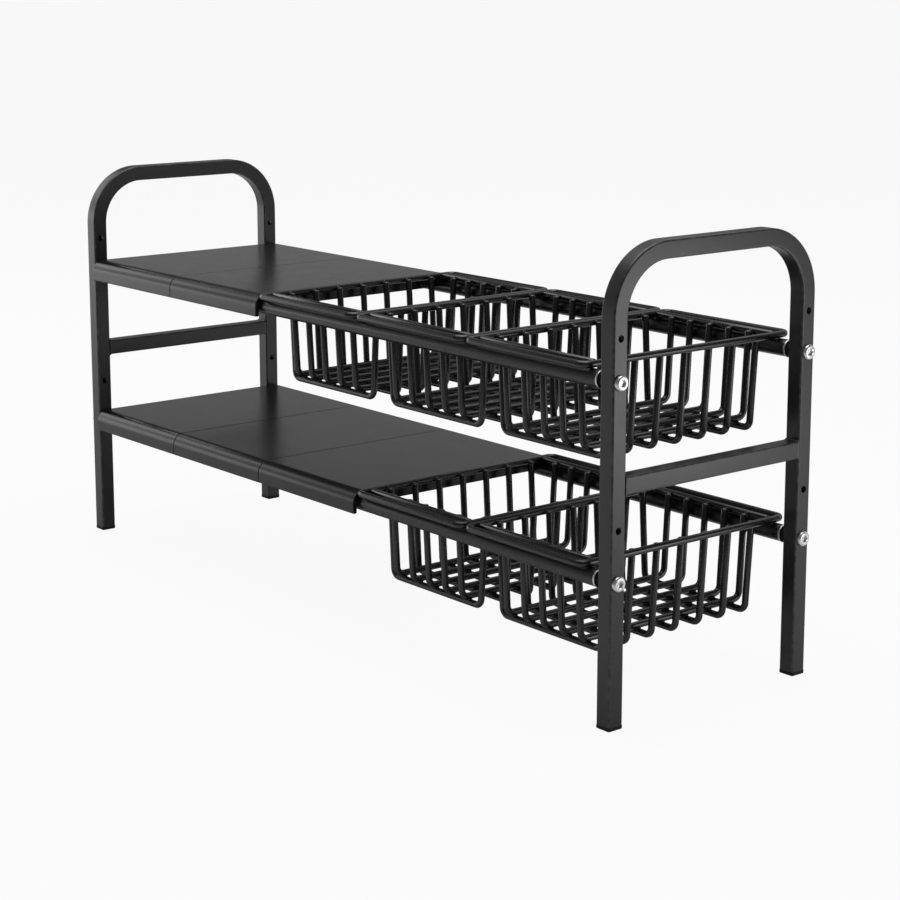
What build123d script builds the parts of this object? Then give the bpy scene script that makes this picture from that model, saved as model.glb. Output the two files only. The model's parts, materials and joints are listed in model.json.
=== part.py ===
"""Two-tier extendable rack for the cupboard under a sink.

Two hoop frames of square tube stand at the ends. Four telescoping rails join them, two to a tier.
Ten lift-off units hang over the rails: five flat shelf panels and five wire baskets.

Millimetres. +X runs along the rack, -Y is the front, +Z is up. The origin is on the floor, at the
middle of the rack.
"""
import os

from build123d import *

# Hoop frames
rack_width = 800.9              # over the outer faces of the two hoops
rack_depth = 228.4              # over the front and back legs
rack_height = 386.4             # from the floor to the top of the handles
tube_side = 15.0                # square tube of the hoops and crossbars
tube_wall = 1.2
tube_corner_radius = 1.6        # outside corner of the tube's section
handle_bend_radius = 50.0       # centre line of the bends below the handle
crossbar_height = 197.0         # centre of the crossbar above the floor

# Foot caps
foot_cap_base = 3.4             # thickness under the tube's end
foot_cap_overhang = 0.25        # how far the base stands out of the tube, each side
foot_cap_plug_length = 14.0
foot_cap_plug_wall = 1.5
foot_cap_fit = 0.05             # gap between the plug and the tube, each side
foot_cap_plug_corner = 1.0
foot_cap_edge = 0.8

# Rails
lower_rail_height = 120.1
upper_rail_height = 279.7
rail_diameter = 14.6            # outer tube, fixed to the right hoop
rail_wall = 0.7
rail_running_gap = 0.08         # between the inner and the outer tube, all round
outer_rail_reach = 100.05       # how far the outer tube reaches past the rack's middle
inner_rail_reach = 74.55        # how far the inner tube does

# Plugs in the rail ends, each with a flange on the tube's end and a neck that bears on the leg
flange_diameter = 15.2
flange_width = 1.8
neck_diameter = 10.4
neck_length = 4.2
plug_depth = 22.0
plug_fit = 0.04                 # between the plug and the tube, all round
flange_edge = 0.6

# Screws through the legs, and the holes for them
screw_diameter = 6.0
screw_grip = 16.0               # length of shank inside the rail plug
screw_hole_diameter = 6.4
screw_thread_gap = 0.05         # between the shank and the plug's bore, all round
screw_head_diameter = 13.0
screw_head_height = 3.3
screw_head_crown = 2.4          # rounding of the head's rim
socket_flats = 5.0              # across the flats of the hexagon socket
socket_depth = 2.0

# Spare holes for the rails, one above each screw
spare_hole_diameter = 6.0
upper_spare_rise = 34.5
lower_spare_rise = 42.4

# Row of units on the rails
units_per_row = 5
row_end_gap = 1.8               # between the left hoop and the first unit
row_far_gap = 12.1              # between the last unit and the right hoop
seat_gap = 0.3                  # between a unit and the rail that it rests on

# Shelf panels
panel_gap = 0.4                 # seam between two neighbours
panel_thickness = 4.2
panel_lip_drop = 9.0            # how far the lip hangs below the rail's centre
panel_lip_edge = 1.0
panel_rib_thickness = 3.0       # rib under each end of a panel
panel_rib_drop = 1.2            # how far the rib reaches below the rail's centre
panel_rib_gap = 0.3             # between the rib's ends and the rails

# Wire baskets
basket_gap = 1.8                # between the rims of two neighbours
rim_diameter = 6.0
rim_corner_radius = 7.0
rim_overhang = 9.3              # from the rail's centre out to the rim's front or back wire
saddle_diameter = 6.0           # wire beside the rim, at the inner side of each rail
wire_diameter = 5.9             # wires of the walls and the floor
wire_bend_radius = 7.0
wire_tip_rise = 1.1             # how far a wire's tip stands above the rim's centre
basket_drop = 68.5              # from the rail's centre down to the lowest wires
side_wall_lean = 5.0            # how far the left and right walls lean in from rim to floor
front_wall_lean = 4.0           # the same for the front and back walls
front_wall_gap = 0.3            # between the front wall's tips and the rail's inner side
long_wire_count = 7             # wires that run left to right
long_wire_inset = 12.45         # from the front wall's tips back to the first of them
cross_wire_count = 5            # wires that run front to back
cross_wire_inset = 20.23        # from the left wall's tips in to the first of them
weld_gap = 0.02                 # drawn between two wires that are welded together

cut_overrun = 2.0

# Places that follow from the sizes
SIDES = {"left": -1, "right": 1}
ROWS = {"front": -1, "back": 1}
TIERS = {"lower": lower_rail_height, "upper": upper_rail_height}
SPARE_RISES = {"lower": lower_spare_rise, "upper": upper_spare_rise}
UNITS = {
    "upper": ["panel", "panel", "basket", "basket", "basket"],
    "lower": ["panel", "panel", "panel", "basket", "basket"],
}

leg_x = (rack_width - tube_side) / 2
leg_y = (rack_depth - tube_side) / 2
hoop_outer_face = rack_width / 2
hoop_inner_face = rack_width / 2 - tube_side
leg_bottom = foot_cap_base
handle_z = rack_height - tube_side / 2
rail_radius = rail_diameter / 2
outer_rail_bore = rail_diameter - 2 * rail_wall
inner_rail_diameter = outer_rail_bore - 2 * rail_running_gap
inner_rail_bore = inner_rail_diameter - 2 * rail_wall
rail_end = hoop_inner_face - neck_length - flange_width
outer_rail_length = rail_end + outer_rail_reach
inner_rail_length = rail_end + inner_rail_reach
row_start = row_end_gap - hoop_inner_face
unit_pitch = (2 * hoop_inner_face - row_end_gap - row_far_gap) / units_per_row
seat_radius = rail_radius + seat_gap
rim_rise = seat_radius + rim_diameter / 2


def along_x(shape):
    """Turn a shape drawn along Z so that its +Z end points to +X."""
    return Rot(0, 90, 0) * shape


def along_y(shape):
    """Turn a shape drawn along Z so that it lies along Y."""
    return Rot(90, 0, 0) * shape


def ring_tube(outer_diameter, bore_diameter, length):
    """A round tube along Z, centred on the origin."""
    return Cylinder(outer_diameter / 2, length) - Cylinder(bore_diameter / 2, length + cut_overrun)


def square_tube_section():
    """Section of the square tube, with rounded corners inside and out."""
    bore = tube_side - 2 * tube_wall
    outside = RectangleRounded(tube_side, tube_side, tube_corner_radius)
    return outside - RectangleRounded(bore, bore, tube_corner_radius - tube_wall)


def swept(section, path):
    """Sweep a flat section along a path, starting square to it."""
    return sweep(Plane(origin=path @ 0, z_dir=path % 0) * section, path=path)


def hoop_tube(side):
    """One hoop: two legs and the handle, bent from a single tube, with its rail holes."""
    corners = [(-leg_y, leg_bottom), (-leg_y, handle_z), (leg_y, handle_z), (leg_y, leg_bottom)]
    path = Plane.YZ * FilletPolyline(*corners, radius=handle_bend_radius)
    hoop = swept(square_tube_section(), path)
    hole_length = tube_side + 2 * cut_overrun
    for row in ROWS.values():
        for tier, height in TIERS.items():
            screw_hole = along_x(Cylinder(screw_hole_diameter / 2, hole_length))
            spare_hole = along_x(Cylinder(spare_hole_diameter / 2, hole_length))
            hoop -= Pos(0, row * leg_y, height) * screw_hole
            hoop -= Pos(0, row * leg_y, height + SPARE_RISES[tier]) * spare_hole
    return Pos(side * leg_x, 0, 0) * hoop


def crossbar(side):
    """The bar between the legs of one hoop, of the same tube."""
    length = rack_depth - 2 * tube_side
    bar = extrude(square_tube_section(), length / 2, both=True)
    return Pos(side * leg_x, 0, crossbar_height) * along_y(bar)


def foot_cap(side, row):
    """Moulded cap under one leg, with a hollow plug that fills the tube's end."""
    base_side = tube_side + 2 * foot_cap_overhang
    plug_side = tube_side - 2 * tube_wall - 2 * foot_cap_fit
    hollow_side = plug_side - 2 * foot_cap_plug_wall
    base_section = RectangleRounded(base_side, base_side, tube_corner_radius + foot_cap_overhang)
    base = extrude(base_section, foot_cap_base)
    base = fillet(base.edges().group_by(Axis.Z)[0], foot_cap_edge)
    plug_section = RectangleRounded(plug_side, plug_side, foot_cap_plug_corner)
    plug = extrude(plug_section - Rectangle(hollow_side, hollow_side), foot_cap_plug_length)
    return Pos(side * leg_x, row * leg_y, 0) * (base + Pos(0, 0, foot_cap_base) * plug)


def rail(side, row, height):
    """One tube of a telescoping rail: the outer one at the right, the inner one at the left."""
    if side > 0:
        tube, length = ring_tube(rail_diameter, outer_rail_bore, outer_rail_length), outer_rail_length
    else:
        tube, length = ring_tube(inner_rail_diameter, inner_rail_bore, inner_rail_length), inner_rail_length
    return Pos(side * (rail_end - length / 2), row * leg_y, height) * along_x(tube)


def rail_plug(side, row, height):
    """Plug in one rail end: a neck against the leg, a flange, and a threaded spigot in the tube."""
    spigot_diameter = (outer_rail_bore if side > 0 else inner_rail_bore) - 2 * plug_fit
    hung = (Align.CENTER, Align.CENTER, Align.MAX)
    neck = Cylinder(neck_diameter / 2, neck_length, align=hung)
    flange = Cylinder(flange_diameter / 2, flange_width, align=hung)
    flange = fillet(flange.edges(), flange_edge)
    spigot = Cylinder(spigot_diameter / 2, plug_depth, align=hung)
    plug = neck + Pos(0, 0, -neck_length) * (flange + Pos(0, 0, -flange_width) * spigot)
    whole_length = neck_length + flange_width + plug_depth
    plug -= Cylinder(screw_diameter / 2 + screw_thread_gap, 2 * (whole_length + cut_overrun))
    return Pos(side * hoop_inner_face, row * leg_y, height) * Rot(0, side * 90, 0) * plug


def rail_screw(side, row, height):
    """Button-head screw through one leg into the rail plug."""
    head = extrude(Circle(screw_head_diameter / 2), screw_head_height)
    head = fillet(head.edges().group_by(Axis.Z)[-1], screw_head_crown)
    socket = RegularPolygon(socket_flats / 2, 6, major_radius=False)
    head -= Pos(0, 0, screw_head_height - socket_depth) * extrude(socket, socket_depth + cut_overrun)
    shank = Cylinder(
        screw_diameter / 2, tube_side + screw_grip, align=(Align.CENTER, Align.CENTER, Align.MAX)
    )
    return Pos(side * hoop_outer_face, row * leg_y, height) * Rot(0, side * 90, 0) * (head + shank)


def saddle_outline(radius):
    """Closed outline in YZ of what lies under a skin that wraps both rails at this radius."""
    side_y = leg_y + radius
    front = JernArc((-side_y, 0), (0, 1), radius, -90)
    back = JernArc((leg_y, radius), (1, 0), radius, -90)
    rest = Polyline(
        (side_y, 0), (side_y, -panel_lip_drop), (-side_y, -panel_lip_drop), (-side_y, 0)
    )
    return make_face([*front.edges(), *Line(front @ 1, back @ 0).edges(), *back.edges(), *rest.edges()])


def shelf_panel(unit_x, height):
    """Flat panel whose front and back edges wrap over the rails, with a rib under each end."""
    section = saddle_outline(seat_radius + panel_thickness) - saddle_outline(seat_radius)
    section = fillet(section.vertices().group_by(Axis.Y)[0], panel_lip_edge)
    half_length = (unit_pitch - panel_gap) / 2
    panel = extrude(Plane.YZ * section, half_length, both=True)
    rib_width = 2 * (leg_y - rail_radius - panel_rib_gap)
    rib_height = seat_radius + panel_thickness / 2 + panel_rib_drop
    rib = Box(panel_rib_thickness, rib_width, rib_height, align=(Align.CENTER, Align.CENTER, Align.MIN))
    rib_x = half_length - panel_rib_thickness / 2
    for end in SIDES.values():
        panel += Pos(end * rib_x, 0, -panel_rib_drop) * rib
    return Pos(unit_x, 0, height) * panel


def basket_rim(unit_x, height):
    """Closed hoop of thick wire whose side wires lie across both rails."""
    rim_x = (unit_pitch - basket_gap - rim_diameter) / 2
    rim_y = leg_y + rim_overhang
    path = RectangleRounded(2 * rim_x, 2 * rim_y, rim_corner_radius).face().outer_wire()
    return Pos(unit_x, 0, height + rim_rise) * swept(Circle(rim_diameter / 2), path)


def wall_tip_x():
    """Distance from a basket's middle to the tips of the wires on its left and right walls."""
    rim_inside = (unit_pitch - basket_gap) / 2 - rim_diameter
    return rim_inside - wire_diameter / 2 - weld_gap


def wall_tip_y():
    """Distance from a basket's middle to the tips of the wires on its front and back walls."""
    return leg_y - rail_radius - front_wall_gap - wire_diameter / 2


def basket_saddle_wires(unit_x, height):
    """Straight wires beside the rim that carry the tips of the front and back walls."""
    length = unit_pitch - basket_gap - 2 * rim_diameter - 2 * weld_gap
    y = wall_tip_y() + wire_diameter / 2 + saddle_diameter / 2 + weld_gap
    wire = along_x(Cylinder(saddle_diameter / 2, length))
    return [Pos(unit_x, row * y, height + rim_rise) * wire for row in ROWS.values()]


def u_wire(tip_half_span, floor_drop, wall_lean):
    """Wire bent down one wall, along the floor and up the other wall, drawn in the XY plane."""
    rise = rim_rise + wire_tip_rise
    floor_half_span = tip_half_span - wall_lean
    lean_share = wall_lean / (rim_rise + floor_drop)
    tip_half_span += lean_share * wire_tip_rise
    points = [
        (-tip_half_span, rise), (-floor_half_span, -floor_drop),
        (floor_half_span, -floor_drop), (tip_half_span, rise),
    ]
    return FilletPolyline(*points, radius=wire_bend_radius)


def wire_row(count, half_span):
    """Places of evenly spread wires, from one end of the row to the other."""
    return [half_span * (2 * i / (count - 1) - 1) for i in range(count)]


def basket_long_wires(unit_x, height):
    """Wires that run left to right: the side walls, and the lower layer of the floor."""
    path = Plane.XZ * u_wire(wall_tip_x(), basket_drop, side_wall_lean)
    wire = swept(Circle(wire_diameter / 2), path)
    row = wire_row(long_wire_count, wall_tip_y() - long_wire_inset)
    return [Pos(unit_x, y, height) * wire for y in row]


def basket_cross_wires(unit_x, height):
    """Wires that run front to back: the front and back walls, and the upper layer of the floor."""
    floor_drop = basket_drop - wire_diameter - weld_gap
    path = Plane.YZ * u_wire(wall_tip_y(), floor_drop, front_wall_lean)
    wire = swept(Circle(wire_diameter / 2), path)
    row = wire_row(cross_wire_count, wall_tip_x() - cross_wire_inset)
    return [Pos(unit_x + x, 0, height) * wire for x in row]


def hoop_nodes():
    """Everything that is fixed to the two hoops, as node name and shape."""
    for side_name, side in SIDES.items():
        yield f"{side_name}_hoop_frame", hoop_tube(side)
        yield f"{side_name}_crossbar", crossbar(side)
        rail_name = "outer_rail" if side > 0 else "inner_rail"
        for row_name, row in ROWS.items():
            yield f"{side_name}_{row_name}_foot_cap", foot_cap(side, row)
            for tier, height in TIERS.items():
                place = f"{tier}_{row_name}"
                yield f"{place}_{rail_name}", rail(side, row, height)
                yield f"{place}_{side_name}_rail_plug", rail_plug(side, row, height)
                yield f"{place}_{side_name}_rail_screw", rail_screw(side, row, height)


def unit_nodes():
    """The lift-off units, numbered from the left in each tier, as node name and shape."""
    for tier, kinds in UNITS.items():
        height = TIERS[tier]
        for slot, kind in enumerate(kinds):
            unit_x = row_start + (slot + 1 / 2) * unit_pitch
            name = f"{tier}_{kind}_{slot + 1 - kinds.index(kind)}"
            if kind == "panel":
                yield name, shelf_panel(unit_x, height)
            else:
                yield f"{name}_rim", basket_rim(unit_x, height)
                yield f"{name}_saddle_wires", basket_saddle_wires(unit_x, height)
                yield f"{name}_long_wires", basket_long_wires(unit_x, height)
                yield f"{name}_cross_wires", basket_cross_wires(unit_x, height)


def write_node(name, shape):
    """Write one node as a STEP file that carries its name."""
    solids = [solid for piece in (shape if isinstance(shape, list) else [shape]) for solid in piece.solids()]
    node = solids[0] if len(solids) == 1 else Compound(children=solids)
    node.label = name
    export_step(node, os.path.join("parts", f"{name}.step"))


os.makedirs("parts", exist_ok=True)
for node_name, node_shape in [*hoop_nodes(), *unit_nodes()]:
    write_node(node_name, node_shape)
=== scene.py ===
"""Looks of a two-tier extendable rack for the cupboard under a sink.

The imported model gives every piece's place. This script builds a finer surface for each piece, dresses
it in powder coat, dipped coating, moulded plastic or plated steel, and sets a pale studio round it.
Metres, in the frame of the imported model: +X along the rack, -Y the front, +Z up.
"""
from __future__ import annotations

import json
import logging
import math
from dataclasses import dataclass, field
from enum import Enum
from typing import Any, Callable, Iterable, Sequence

import bmesh
import bpy
from mathutils import Matrix, Vector

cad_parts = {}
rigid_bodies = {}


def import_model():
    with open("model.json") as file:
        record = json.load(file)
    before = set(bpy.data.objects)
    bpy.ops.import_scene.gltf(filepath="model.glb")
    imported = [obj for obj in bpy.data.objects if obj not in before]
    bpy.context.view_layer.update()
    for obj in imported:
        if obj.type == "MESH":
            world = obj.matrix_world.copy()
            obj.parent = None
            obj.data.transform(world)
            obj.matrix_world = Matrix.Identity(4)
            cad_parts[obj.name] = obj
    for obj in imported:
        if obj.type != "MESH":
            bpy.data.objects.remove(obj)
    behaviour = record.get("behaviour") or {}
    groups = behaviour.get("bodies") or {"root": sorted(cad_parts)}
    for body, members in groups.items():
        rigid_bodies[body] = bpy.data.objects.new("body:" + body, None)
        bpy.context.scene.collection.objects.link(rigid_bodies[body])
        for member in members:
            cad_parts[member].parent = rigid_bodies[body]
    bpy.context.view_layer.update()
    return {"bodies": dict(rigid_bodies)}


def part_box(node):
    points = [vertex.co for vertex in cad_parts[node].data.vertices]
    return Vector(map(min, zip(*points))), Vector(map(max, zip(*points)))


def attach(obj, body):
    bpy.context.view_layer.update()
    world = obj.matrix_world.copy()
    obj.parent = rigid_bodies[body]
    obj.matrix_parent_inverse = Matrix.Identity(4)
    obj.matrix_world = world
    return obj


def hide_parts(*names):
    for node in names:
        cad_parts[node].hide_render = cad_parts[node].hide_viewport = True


LOG = logging.getLogger("rack")
MM = 0.001
CORNER_SIGNS = ((-1, -1), (1, -1), (1, 1), (-1, 1))
DUST_COLOUR = (0.42, 0.41, 0.39, 1.0)
DOME_SHARE = 0.45
DOME_STEPS = 4
BEAD_SEGMENTS = 14
BEAD_RINGS = 8
ROUND_PROFILE = 0.5
SPECK_SCALE = 2600.0
STAIN_SCALE = 420.0
RUB_RANGE = (0.56, 0.74)
BREAKUP_RANGE = (0.42, 0.62)

Ring = list[tuple[float, float]]


class Side(Enum):
    """The two ends of the rack, with the sign of their X."""

    LEFT = -1
    RIGHT = 1

    @property
    def label(self) -> str:
        """The word for this end in the names of nodes."""
        return self.name.lower()

    @property
    def body(self) -> str:
        """The body that holds what is fixed to this end."""
        return f"{self.label}_frame"

    @property
    def rail_kind(self) -> str:
        """The rail tube that is fixed to this end."""
        return "outer_rail" if self is Side.RIGHT else "inner_rail"


class Row(Enum):
    """The front and back of the rack, with the sign of their Y."""

    FRONT = -1
    BACK = 1

    @property
    def label(self) -> str:
        """The word for this row in the names of nodes."""
        return self.name.lower()


class Tier(Enum):
    """The two shelves."""

    LOWER = "lower"
    UPPER = "upper"


class Slot(Enum):
    """The record's material slots."""

    FRAME = "frame_coat"
    RAIL = "rail_coat"
    PANEL = "panel_coat"
    WIRE = "basket_wire"
    CAP = "cap_plastic"
    PLUG = "zinc_plate"
    SCREW = "screw_steel"


@dataclass(frozen=True)
class Extent:
    """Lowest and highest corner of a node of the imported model."""

    low: Vector
    high: Vector

    @classmethod
    def of(cls, node: str) -> Extent:
        """Measure one node.

        Args:
            node: Name of the node.

        Returns:
            The node's extent at rest.
        """
        return cls(*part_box(node))

    @property
    def centre(self) -> Vector:
        """Middle of the box."""
        return (self.low + self.high) / 2

    @property
    def size(self) -> Vector:
        """Edge lengths of the box."""
        return self.high - self.low


@dataclass(frozen=True)
class Pitch:
    """A row of copies: the step from one to the next, and how many there are."""

    step: Vector
    count: int


def rail_places() -> list[str]:
    """Tier and row of the four rails, as they stand in the names of nodes."""
    return [f"{tier.value}_{row.label}" for tier in Tier for row in Row]


# Node trees

class TreeBuilder:
    """Adds nodes to a tree and links them with short calls."""

    def __init__(self, tree: bpy.types.NodeTree) -> None:
        """Wrap a node tree.

        Args:
            tree: The tree that receives the nodes.
        """
        self.tree = tree

    def add(self, kind: str, inputs: dict[str | int, Any] | None = None, **settings: Any) -> bpy.types.Node:
        """Add one node.

        Args:
            kind: The node's type name.
            inputs: Socket name or index to a value, or to a socket that feeds it.
            **settings: Properties of the node itself.

        Returns:
            The new node.
        """
        node = self.tree.nodes.new(kind)
        for key, value in settings.items():
            setattr(node, key, value)
        for key, value in (inputs or {}).items():
            if isinstance(value, bpy.types.NodeSocket):
                self.tree.links.new(value, node.inputs[key])
            else:
                node.inputs[key].default_value = value
        return node

    def math(self, operation: str, first: Any, second: Any = 0.0, third: Any = 0.0) -> bpy.types.NodeSocket:
        """Add a math node.

        Args:
            operation: The operation's name.
            first: First operand, a number or a socket.
            second: Second operand, a number or a socket.
            third: Third operand, where the operation takes one.

        Returns:
            The result's socket.
        """
        return self.add("ShaderNodeMath", {0: first, 1: second, 2: third}, operation=operation).outputs[0]

    def blend(self, factor: Any, low: Any, high: Any) -> bpy.types.NodeSocket:
        """Add a node that blends two colours.

        Args:
            factor: Share of the second colour, a number or a socket.
            low: First colour, a value or a socket.
            high: Second colour, a value or a socket.

        Returns:
            The blended colour's socket.
        """
        inputs = {"Factor": factor, "A": low, "B": high}
        return self.add("ShaderNodeMix", inputs, data_type="RGBA").outputs["Result"]

    def noise(self, scale: Any, detail: float, roughness: float = 0.5) -> bpy.types.NodeSocket:
        """Add a noise over the object's own coordinates.

        Args:
            scale: The noise's scale, a number or a socket.
            detail: Its octaves.
            roughness: How strong the finer octaves are.

        Returns:
            The socket of its value, from 0 to 1.
        """
        place = self.add("ShaderNodeTexCoord").outputs["Object"]
        return self.add("ShaderNodeTexNoise", {
            "Vector": place, "Scale": scale, "Detail": detail, "Roughness": roughness,
        }).outputs[0]

    def surface(
        self, shader: bpy.types.Node, colour: Any, roughness: Any, height: Any, depth: float,
    ) -> None:
        """Feed a Principled shader.

        Args:
            shader: The shader.
            colour: Socket of the base colour.
            roughness: Socket of the roughness.
            height: Socket of the relief, from 0 to 1.
            depth: The relief's depth.
        """
        bump = self.add("ShaderNodeBump", {"Height": height, "Distance": depth, "Strength": 1.0})
        feeds = {"Base Color": colour, "Roughness": roughness, "Normal": bump.outputs[0]}
        for label, socket in feeds.items():
            self.tree.links.new(socket, shader.inputs[label])


def new_group(name: str, kind: str, sockets: Sequence[tuple[str, str, str]]) -> TreeBuilder:
    """Make an empty node group with named sockets.

    Args:
        name: Name of the group.
        kind: ShaderNodeTree or GeometryNodeTree.
        sockets: Name, INPUT or OUTPUT, and socket type of each socket.

    Returns:
        A builder for the group.
    """
    tree = bpy.data.node_groups.new(name, kind)
    for label, way, socket_type in sockets:
        tree.interface.new_socket(label, in_out=way, socket_type=socket_type)
    return TreeBuilder(tree)


# Shader groups

def shader_group(name: str, inputs: Sequence[str], outputs: Sequence[str]) -> TreeBuilder:
    """Make an empty shader group whose sockets are all plain numbers.

    Args:
        name: Name of the group.
        inputs: Names of the inputs.
        outputs: Names of the outputs.

    Returns:
        A builder for the group.
    """
    ways = [(label, "INPUT") for label in inputs] + [(label, "OUTPUT") for label in outputs]
    return new_group(name, "ShaderNodeTree", [(label, way, "NodeSocketFloat") for label, way in ways])


def coat_texture_group() -> bpy.types.NodeTree:
    """Make the fine skin of a baked or dipped coating: its ripple as a height, and a slow mottle.

    Returns:
        The group's tree.
    """
    build = shader_group("coat_texture", ["Ripple Scale", "Mottle Scale"], ["Height", "Mottle"])
    given = build.add("NodeGroupInput")
    ripple = build.noise(given.outputs["Ripple Scale"], 3.0, roughness=0.55)
    mottle = build.noise(given.outputs["Mottle Scale"], 4.0, roughness=0.6)
    build.add("NodeGroupOutput", {"Height": ripple, "Mottle": mottle})
    return build.tree


def handling_group() -> bpy.types.NodeTree:
    """Make the traces of handling: thin dust on what faces up, and faint rubbed patches.

    Returns:
        The group's tree.
    """
    build = shader_group("handling", ["Patch Scale"], ["Dust", "Rub"])
    given = build.add("NodeGroupInput")
    normal = build.add("ShaderNodeNewGeometry").outputs["Normal"]
    up = build.add("ShaderNodeSeparateXYZ", {0: normal}).outputs["Z"]
    patch = build.noise(given.outputs["Patch Scale"], 5.0, roughness=0.65)
    speck = build.noise(SPECK_SCALE, 1.0)
    settled = build.math("MULTIPLY", build.math("MAXIMUM", up, 0.0), build.math("MULTIPLY", patch, speck))
    low, high = RUB_RANGE
    rubbed = build.add("ShaderNodeMapRange", {0: patch, 1: low, 2: high}, clamp=True).outputs[0]
    build.add("NodeGroupOutput", {"Dust": settled, "Rub": rubbed})
    return build.tree


def edge_group() -> bpy.types.NodeTree:
    """Make the mask of the strips that are marked as edges, broken up by a noise; it carries the painted
    edge highlight and the panels' painted seam shade.

    Returns:
        The group's tree.
    """
    build = shader_group("edge_strips", ["Breakup Scale"], ["Mask"])
    given = build.add("NodeGroupInput")
    stored = build.add("ShaderNodeAttribute", attribute_name="edge").outputs["Fac"]
    noise = build.noise(given.outputs["Breakup Scale"], 4.0)
    low, high = BREAKUP_RANGE
    broken = build.add("ShaderNodeMapRange", {0: noise, 1: low, 2: high}, clamp=True).outputs[0]
    build.add("NodeGroupOutput", {"Mask": build.math("MULTIPLY", stored, broken)})
    return build.tree


def turning_group() -> bpy.types.NodeTree:
    """Make the fine lathe marks of turned steel, from the run that is stored on each vertex.

    Returns:
        The group's tree.
    """
    build = shader_group("turning_marks", ["Pitch Scale"], ["Height", "Stain"])
    given = build.add("NodeGroupInput")
    along = build.add("ShaderNodeAttribute", attribute_name="turned").outputs["Fac"]
    lines = build.add("ShaderNodeTexNoise", {
        "W": along, "Scale": given.outputs["Pitch Scale"], "Detail": 2.0,
    }, noise_dimensions="1D").outputs[0]
    build.add("NodeGroupOutput", {"Height": lines, "Stain": build.noise(STAIN_SCALE, 3.0)})
    return build.tree


# Finishes

@dataclass
class ShaderKit:
    """The shader groups that the finishes share."""

    coat: bpy.types.NodeTree = field(default_factory=coat_texture_group)
    handling: bpy.types.NodeTree = field(default_factory=handling_group)
    edge: bpy.types.NodeTree = field(default_factory=edge_group)
    turning: bpy.types.NodeTree = field(default_factory=turning_group)


def group_node(build: TreeBuilder, tree: bpy.types.NodeTree, **values: float) -> bpy.types.Node:
    """Place a shader group in a material.

    Args:
        build: Builder of the material's tree.
        tree: The group.
        **values: Input values, with underscores for the spaces in their names.

    Returns:
        The group's node.
    """
    node = build.add("ShaderNodeGroup", node_tree=tree)
    for name, value in values.items():
        node.inputs[name.replace("_", " ")].default_value = value
    return node


def new_material(name: str) -> tuple[bpy.types.Material, TreeBuilder, bpy.types.Node]:
    """Make a material with one Principled shader.

    Args:
        name: The material's name.

    Returns:
        The material, a builder for its tree, and the shader.
    """
    material = bpy.data.materials.new(name)
    material.use_nodes = True
    material.node_tree.nodes.clear()
    build = TreeBuilder(material.node_tree)
    shader = build.add("ShaderNodeBsdfPrincipled")
    build.add("ShaderNodeOutputMaterial", {"Surface": shader.outputs[0]})
    return material, build, shader


@dataclass(frozen=True)
class CoatFinish:
    """A black coating: powder baked on tube and sheet, or plastic that wire was dipped in."""

    name: str
    shade: float
    light_shade: float
    roughness: float
    roughness_spread: float
    ripple_scale: float
    ripple_height: float
    mottle_scale: float = 38.0
    patch_scale: float = 21.0
    breakup_scale: float = 160.0
    specular: float = 0.5
    dust: float = 0.05
    # Grey of the edge strips. Lighter than the coat it is a painted highlight along the edges, partly edge
    # wear; darker, on the panels, it is a painted shade in the seams.
    edge_shade: float = 0.05
    edge_haze: float = 0.0
    warmth: float = 0.02

    def colour(self, shade: float) -> tuple[float, float, float, float]:
        """Give a near-neutral colour of this shade, a touch cooler in blue."""
        return shade, shade * (1 + self.warmth / 2), shade * (1 + self.warmth * 2), 1.0

    def build(self, kit: ShaderKit) -> bpy.types.Material:
        """Make the material.

        Args:
            kit: The shared shader groups.

        Returns:
            The finished material.
        """
        material, build, shader = new_material(self.name)
        coat = group_node(build, kit.coat, Ripple_Scale=self.ripple_scale, Mottle_Scale=self.mottle_scale)
        marks = group_node(build, kit.handling, Patch_Scale=self.patch_scale)
        edge = group_node(build, kit.edge, Breakup_Scale=self.breakup_scale)
        tone = build.blend(coat.outputs["Mottle"], self.colour(self.shade), self.colour(self.light_shade))
        # Edge strips take the edge grey: a painted highlight, partly wear, on most coats, and a painted
        # seam shade on the panels.
        painted_edges = build.blend(edge.outputs["Mask"], tone, self.colour(self.edge_shade))
        veil = build.math("MULTIPLY", marks.outputs["Dust"], self.dust)
        dusted = build.blend(veil, painted_edges, DUST_COLOUR)
        spread = build.add("ShaderNodeMapRange", {
            0: coat.outputs["Mottle"], 3: self.roughness - self.roughness_spread,
            4: self.roughness + self.roughness_spread,
        }).outputs[0]
        rubbed = build.math("MULTIPLY", marks.outputs["Rub"], -self.roughness_spread / 2)
        hazed = build.math("ADD", spread, build.math("ADD", rubbed, veil))
        edged = build.math("MULTIPLY_ADD", edge.outputs["Mask"], self.edge_haze, hazed)
        build.surface(shader, dusted, edged, coat.outputs["Height"], self.ripple_height)
        shader.inputs["Specular IOR Level"].default_value = self.specular
        return material


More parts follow.
